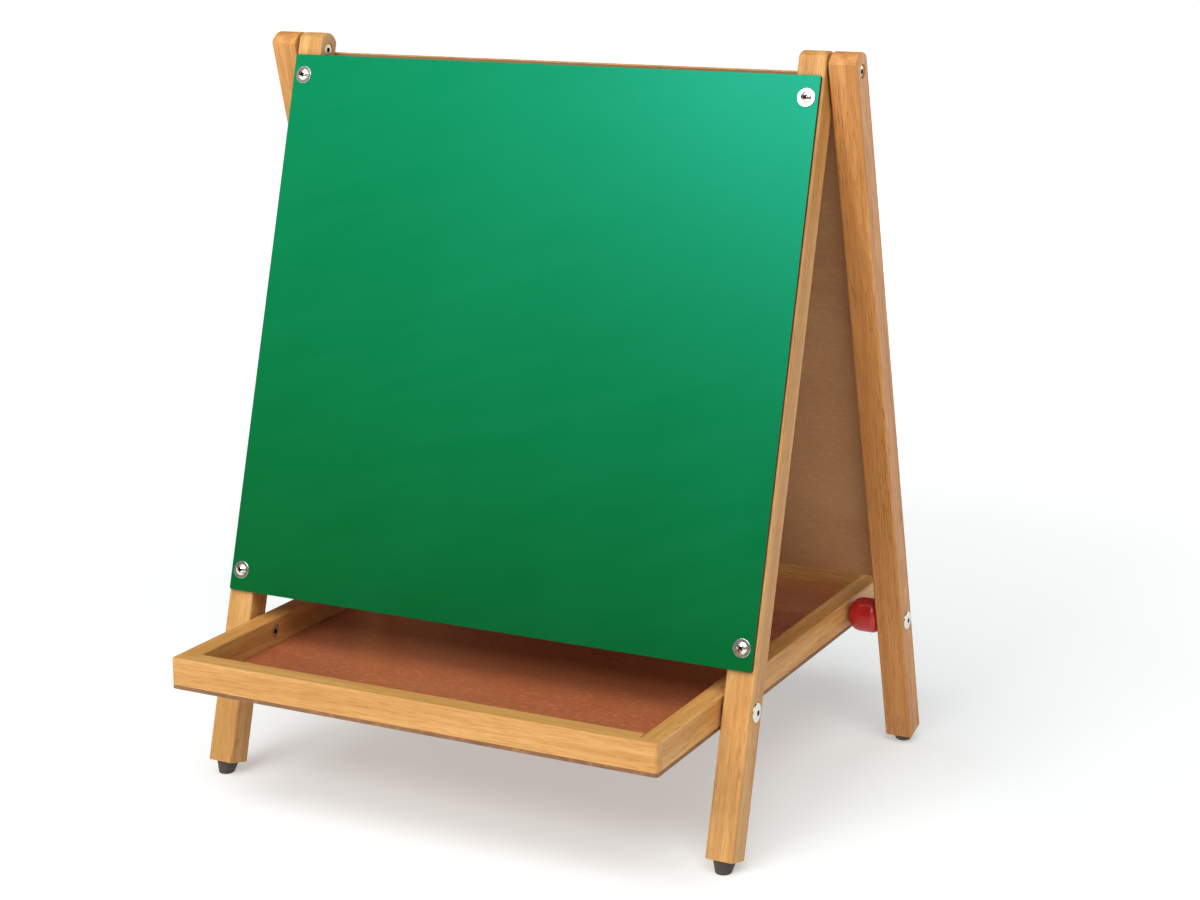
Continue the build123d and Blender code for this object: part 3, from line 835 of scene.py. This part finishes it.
def key_hexagon(top):
    radius = SOCKET_FLATS / 2 / cos(pi / 6)
    outline = [(radius * cos(pi * i / 3), radius * sin(pi * i / 3)) for i in range(6)]
    return saw(outline, top - SOCKET_DEEP, top + SOCKET_DEEP, "Z")


def socket_bolt(head_radius, rim, length):
    """A low domed bolt standing on Z = 0, its shank below, its rounded rim this tall."""
    profile = [(0.0, -length), (SHANK - mm(0.5), -length), (SHANK, -length + mm(0.5)),
               (SHANK, 0.0), (head_radius - mm(0.15), 0.0), (head_radius, mm(0.15)),
               *bend((head_radius - RIM_ROUND, rim - RIM_ROUND), RIM_ROUND, 0, 60, 5),
               *dome(head_radius - RIM_ROUND, rim + mm(0.03), HEAD_TALL)]
    # the socket's faces take finish 1, the painted shade of the recess
    return cut_away(turn(profile, 64), key_hexagon(HEAD_TALL), finish_index=1)


def sleeve_nut(barrel_length):
    """A sleeve with a thin head; the bolt from the other side screws into its bore."""
    head, rim, barrel, bore = mm(5.2), mm(1.5), mm(4.0), mm(3.0)
    profile = [(bore, -barrel_length), (barrel, -barrel_length), (barrel, 0.0), (head, 0.0),
               *bend((head - mm(0.35), rim - mm(0.35)), mm(0.35), 0, 82, 4),
               (0.0, rim), (0.0, rim - SOCKET_DEEP), (bore, rim - SOCKET_DEEP)]
    # the socket's faces take finish 1, the painted shade of the recess
    return cut_away(turn(profile, 48, ring=True), key_hexagon(rim), finish_index=1)


def facing(side, work, x):
    """Turn a fitting made up +Z so that it looks along +X or -X, standing at x."""
    return moved(work, slide(x, 0, 0) @ spin(side * pi / 2, "Y"))


def pair_of_fittings(name, body, node_name, make, axes, drop, looks_out, seat, plate=NICKEL):
    """The left and the right one of a fitting, drop below the hinge along the leg."""
    place = axes @ slide(0, 0, -drop)
    works = [facing(side * looks_out, make(), side * seat) for side in (-1, 1)]
    add_piece(name, together(works), body, [node_name], [plate, RECESS_PAINTED_SHADE],
              place)


front_low, front_high = own_box("front_leg_right", front_axes)
rear_low, rear_high = own_box("rear_leg_right", rear_axes)
hinge_seat = rear_high.x - HINGE_HEAD_SEAT
sleeve_seat = front_low.x + SLEEVE_HEAD_SEAT
rail_low, rail_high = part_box("tray_right_rail")
tray_sleeve_seat = rail_low.x + SLEEVE_HEAD_SEAT
knob_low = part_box("lock_knob_right")[0]

pair_of_fittings("hinge_bolt_pair", "rear_frame", "hinge_bolts",
                 lambda: socket_bolt(*HINGE_HEAD, hinge_seat - sleeve_seat - SOCKET_DEEP),
                 rear_axes, 0.0, 1, hinge_seat, DULL_NICKEL)
pair_of_fittings("hinge_sleeve_pair", "rear_frame", "hinge_sleeve_nuts",
                 lambda: sleeve_nut(rear_low.x + HINGE_SLEEVE_REACH - sleeve_seat),
                 rear_axes, 0.0, -1, sleeve_seat, DULL_NICKEL)
pair_of_fittings("tray_pivot_bolt_pair", "front_frame", "tray_pivot_bolts",
                 lambda: socket_bolt(*DISC_HEAD, front_high.x - tray_sleeve_seat - SOCKET_DEEP),
                 front_axes, pivot_drop, 1, front_high.x)
pair_of_fittings("tray_pivot_sleeve_pair", "front_frame", "tray_pivot_nuts",
                 lambda: sleeve_nut(front_low.x - tray_sleeve_seat), front_axes, pivot_drop, -1,
                 tray_sleeve_seat)
pair_of_fittings("knob_bolt_pair", "rear_frame", "knob_bolts",
                 lambda: socket_bolt(*DISC_HEAD, rear_high.x - knob_low.x - KNOB_BOLT_END),
                 rear_axes, pivot_drop, 1, rear_high.x)


# %% [markdown]
# ## Tray
# The tray is four rails lapped at the corners, with a hardboard panel screwed under them. The
# end rails run the full width and lap over the side rails, so a fine joint line shows a little
# behind each upright corner. The end rails are sawn from their plan outline, laps included,
# and the top edges are eased everywhere except along the joints, which stay tight.

# %% Rails
RAIL_LAP, RAIL_CORNER, RAIL_EASE = mm(8.0), mm(3.0), mm(1.6)
BOTTOM_BREAK = mm(0.3)
rail_thickness = rail_high.x - rail_low.x
front_rail_low, front_rail_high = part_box("tray_front_rail")
half_width = front_rail_high.x
half_length = -front_rail_low.y
rail_top, rail_bottom = front_rail_high.z, front_rail_low.z


def end_rail(end):
    """Front (-1) or rear (+1) rail, made for the front and turned round for the rear."""
    outer, joint, inner = -half_length, -half_length + RAIL_LAP, -half_length + rail_thickness
    inside = half_width - rail_thickness
    outline = [*bend((-half_width + RAIL_CORNER, outer + RAIL_CORNER), RAIL_CORNER, 180, 270),
               *bend((half_width - RAIL_CORNER, outer + RAIL_CORNER), RAIL_CORNER, 270, 360),
               (half_width, joint), (inside, joint), (inside, inner), (-inside, inner),
               (-inside, joint), (-half_width, joint)]
    work = saw(outline, rail_bottom, rail_top, "Z")

    def away_from_joint(middle):
        on_joint = abs(middle.y - joint) < mm(0.01)
        on_lap = abs(abs(middle.x) - inside) < mm(0.01) and middle.y > joint
        return not (on_joint or on_lap)

    ease(work, RAIL_EASE, lambda middle, way: abs(way.z) < 0.5
         and abs(middle.z - rail_top) < mm(0.01) and away_from_joint(middle))
    ease(work, BOTTOM_BREAK, lambda middle, way: abs(way.z) < 0.5
         and abs(middle.z - rail_bottom) < mm(0.01) and away_from_joint(middle), 2)
    return moved(work, spin(pi if end > 0 else 0, "Z"))


def side_rail(side):
    reach = half_length - RAIL_LAP
    low_x, high_x = sorted((side * half_width, side * (half_width - rail_thickness)))
    work = saw([(low_x, -reach), (high_x, -reach), (high_x, reach), (low_x, reach)],
               rail_bottom, rail_top, "Z")
    ease(work, RAIL_EASE, lambda middle, way: abs(way.y) > 0.5
         and abs(middle.z - rail_top) < mm(0.01))
    ease(work, BOTTOM_BREAK, lambda middle, way: abs(way.y) > 0.5
         and abs(middle.z - rail_bottom) < mm(0.01), 2)
    inner = side * (half_width - rail_thickness)
    bore = drill(inner - side * HOLE_START, side * half_width,
                 (SLEEVE_RECESS, SLEEVE_RECESS_DEPTH + HOLE_START),
                 (SLEEVE_HOLE, rail_thickness + 2 * HOLE_START), y=tray_pivot.y, z=tray_pivot.z)
    return cut_away(work, bore)


rail_woods = {
    "tray_front_rail": ("X", (0.21, 0.36, 0.52), colour(216, 163, 97), colour(206, 151, 84), 0.35),
    "tray_rear_rail": ("X", (0.64, 0.18, 0.93), colour(222, 171, 102), colour(204, 145, 78), 0.5),
    "tray_left_rail": ("Y", (0.47, 0.81, 0.05), colour(222, 171, 102), colour(204, 145, 78), 0.5),
    "tray_right_rail": ("Y", (0.09, 0.58, 0.27), colour(224, 173, 104), colour(206, 147, 78), 0.5),
}
for rail_name, (grain, shift, pale, tan, pore_share) in rail_woods.items():
    wood = hardwood(f"hardwood {rail_name}", grain, shift, pale, tan, pore_share)
    work = (end_rail(-1 if "front" in rail_name else 1) if grain == "X"
            else side_rail(SIDES[rail_name.split("_")[1]]))
    add_piece(rail_name + "_wood", work, "tray", [rail_name], [wood])


# %% [markdown]
# ## Tray bottom
# The panel is tempered hardboard, darker and redder than the boards' backs and wiped with
# oil, so that it shines softly at a low angle; the underside is bare. Its edge shows as a
# dark line under the rails.
# Its screws sit flush in the underside, in countersunk holes.

# %% Panel and its screws
TRAY_TOP = hardboard("tempered hardboard", colour(170, 100, 64), colour(158, 88, 54),
                     (0, pi / 2, 0), 0.26, 0.32, 0.5, 0.5)
TRAY_EDGE = hardboard("tempered hardboard edge", colour(146, 104, 66), colour(116, 78, 48),
                      (0, pi / 2, 0), 0.55, 0.7)
PANEL_CORNER = mm(3.0)
panel_low, panel_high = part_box("tray_bottom_panel")


def screw_centres():
    """Middle of each panel screw, from the loose shells of the CAD node."""
    shells = bmesh.new()
    shells.from_mesh(frame["nodes"]["tray_panel_screws"].data)
    bmesh.ops.remove_doubles(shells, verts=shells.verts, dist=1e-6)
    waiting, centres = set(shells.verts), []
    while waiting:
        shell, edge_of_shell = set(), [waiting.pop()]
        while edge_of_shell:
            vertex = edge_of_shell.pop()
            shell.add(vertex)
            for edge in vertex.link_edges:
                other = edge.other_vert(vertex)
                if other in waiting:
                    waiting.discard(other)
                    edge_of_shell.append(other)
        xs, ys = ([vertex.co[i] for vertex in shell] for i in (0, 1))
        centres.append((round((min(xs) + max(xs)) / 2, 6), round((min(ys) + max(ys)) / 2, 6)))
    shells.free()
    return sorted(centres)


SCREW_HEAD, SCREW_HEAD_DEEP, SCREW_CORE, SCREW_LENGTH = mm(2.8), mm(1.2), mm(1.25), mm(13.0)
SCREW_CLEAR, SCREW_TURN = mm(0.02), 0.7      # air round each screw; turn from one to the next
SCREW_CROSS = mm(3.4), mm(0.8), mm(0.9)


def panel_screw(clear=0.0):
    """A countersunk screw seen from below, its head flush at Z = 0."""
    return turn([(0.0, 0.0), (SCREW_HEAD + clear - mm(0.1), 0.0),
                 (SCREW_HEAD + clear, mm(0.12)), (SCREW_HEAD + clear, SCREW_HEAD_DEEP),
                 (SCREW_CORE + clear, SCREW_HEAD_DEEP), (SCREW_CORE + clear, SCREW_LENGTH - mm(2)),
                 (0.0, SCREW_LENGTH)], 32)


centres = screw_centres()
panel = saw(round_rectangle(panel_low.x, panel_low.y, panel_high.x, panel_high.y, PANEL_CORNER),
            panel_low.z, panel_high.z, "Z")
ease(panel, BOTTOM_BREAK, lambda middle, way: abs(way.z) < 0.5, 2)
add_piece("tray_bottom_panel_sheet",
          cut_away(panel, *[moved(panel_screw(SCREW_CLEAR), slide(x, y, panel_low.z))
                            for x, y in centres]),
          "tray", ["tray_bottom_panel"], [TRAY_TOP, TRAY_EDGE, BOARD_BACK_FRONT],
          choose=lambda normal: 0 if normal.z > 0.8 else 2 if normal.z < -0.8 else 1)
screw = cut_away(panel_screw(), *[moved(arm, spin(pi, "X"))
                                  for arm in taper_cross(*SCREW_CROSS, 0.0)])
add_piece("tray_panel_screw_set",
          together([moved(screw.copy(), slide(x, y, panel_low.z)
                          @ spin(SCREW_TURN * i, "Z"))
                    for i, (x, y) in enumerate(centres)]),
          "tray", ["tray_panel_screws"], [ZINC])
print(f"{len(centres)} panel screws")


# %% [markdown]
# ## Locking knobs
# Each knob is a fat wooden bead between the tray's side rail and the rear leg, well rounded at
# both ends and lacquered red. It is turned in one go: the blind bore for its threaded insert,
# the flat against the leg, the rounded body and the flat against the rail.

# %% Red knobs
KNOB_OUT, RAIL_END_ROUND, LEG_END_ROUND, INSERT_OUT = mm(14.0), mm(11.0), mm(5.0), mm(4.5)
INSERT_LENGTH, BOLT_ROOM = mm(16.0), mm(3.0)


def lock_knob(length):
    """Knob standing on its rail end, so that +Z looks at the leg."""
    profile = [(0.0, 0.0),
               *bend((KNOB_OUT - RAIL_END_ROUND, RAIL_END_ROUND), RAIL_END_ROUND, 270, 360, 16),
               *bend((KNOB_OUT - LEG_END_ROUND, length - LEG_END_ROUND), LEG_END_ROUND, 0, 90, 10),
               (INSERT_OUT, length), (INSERT_OUT, length - INSERT_LENGTH),
               (BOLT_HOLE, length - INSERT_LENGTH), (BOLT_HOLE, BOLT_ROOM), (0.0, BOLT_ROOM)]
    return turn(profile, 72)


knob_axes = rear_axes @ slide(0, 0, -pivot_drop)
for side_name, side in SIDES.items():
    low, high = own_box(f"lock_knob_{side_name}", knob_axes)
    start = low.x if side > 0 else high.x
    add_piece(f"lock_knob_{side_name}_turned", facing(side, lock_knob(high.x - low.x), start),
              f"knob_{side_name}", [f"lock_knob_{side_name}"], [RED],
              knob_axes)


# %% [markdown]
# ## Rubber feet
# A tapered rubber plug is screwed to each sawn leg end. Because the leg leans, the plug is cut
# level with the floor, which makes its lower face a slightly tilted circle. It is turned long,
# leaned over with the leg, cut off at the floor, and only then is its rim rounded.

# %% Feet
FOOT_TOP, FOOT_TIP, FOOT_TALL, FOOT_ROUND = mm(8.6), mm(6.0), mm(9.2), mm(1.0)
FOOT_RECESS, FOOT_RECESS_UP = mm(3.2), mm(4.0)


def foot(x, leg_end, axes):
    reach = FOOT_TALL + FOOT_TIP
    tip = FOOT_TOP - (FOOT_TOP - FOOT_TIP) / FOOT_TALL * reach
    plug = turn([(0.0, -reach), (tip, -reach), (FOOT_TOP - mm(0.06), -mm(0.4)),
                 (FOOT_TOP - mm(0.3), 0.0), (0.0, 0.0)], 56)
    place = axes @ slide(x, 0, leg_end)
    moved(plug, place)
    cut = bmesh.ops.bisect_plane(plug, geom=[*plug.verts, *plug.edges, *plug.faces],
                                 plane_co=(0, 0, 0), plane_no=(0, 0, -1), clear_outer=True)
    rim = [part for part in cut["geom_cut"] if isinstance(part, bmesh.types.BMEdge)]
    bmesh.ops.contextual_create(plug, geom=rim)
    ease(plug, FOOT_ROUND, lambda middle, way: middle.z < 1e-6, 4)
    recess = moved(turn([(0, -reach), (FOOT_RECESS, -reach),
                         (FOOT_RECESS, FOOT_RECESS_UP - FOOT_TALL),
                         (0, FOOT_RECESS_UP - FOOT_TALL)], 32), place)
    return cut_away(plug, recess)


for foot_name, axes, body in (("front_foot", front_axes, "front_frame"),
                              ("rear_foot", rear_axes, "rear_frame")):
    for side_name, side in SIDES.items():
        low, high = own_box(f"{foot_name.split('_')[0]}_leg_{side_name}", axes)
        add_piece(f"{foot_name}_{side_name}_rubber",
                  foot((low.x + high.x) / 2, low.z, axes), body,
                  [f"{foot_name}_{side_name}"], [RUBBER])


# %% [markdown]
# ## Hardware kept from the CAD model
# Washers, dowels, threaded inserts and the screws in the feet are plain turned shapes, nearly
# all of it hidden. Their CAD solids are right as they are and only get their finishes.

# %% Finishes on the carried-over parts
DOWEL_WOOD = hardwood("hardwood dowels", "Y", (0.4, 0.4, 0.4), WOOD_PALE, WOOD_TAN)
KEPT = {"hinge_washers": NYLON, "tray_pivot_washers": NYLON, "tray_corner_dowels": DOWEL_WOOD,
        "chalkboard_inserts": BRASS, "whiteboard_inserts": BRASS, "knob_insert_left": BRASS,
        "knob_insert_right": BRASS, "front_foot_screws": ZINC, "rear_foot_screws": ZINC}
for node_name, finish in KEPT.items():
    materials = frame["nodes"][node_name].data.materials
    materials.clear()
    materials.append(finish)
print(f"{len(KEPT)} CAD parts keep their own shape")
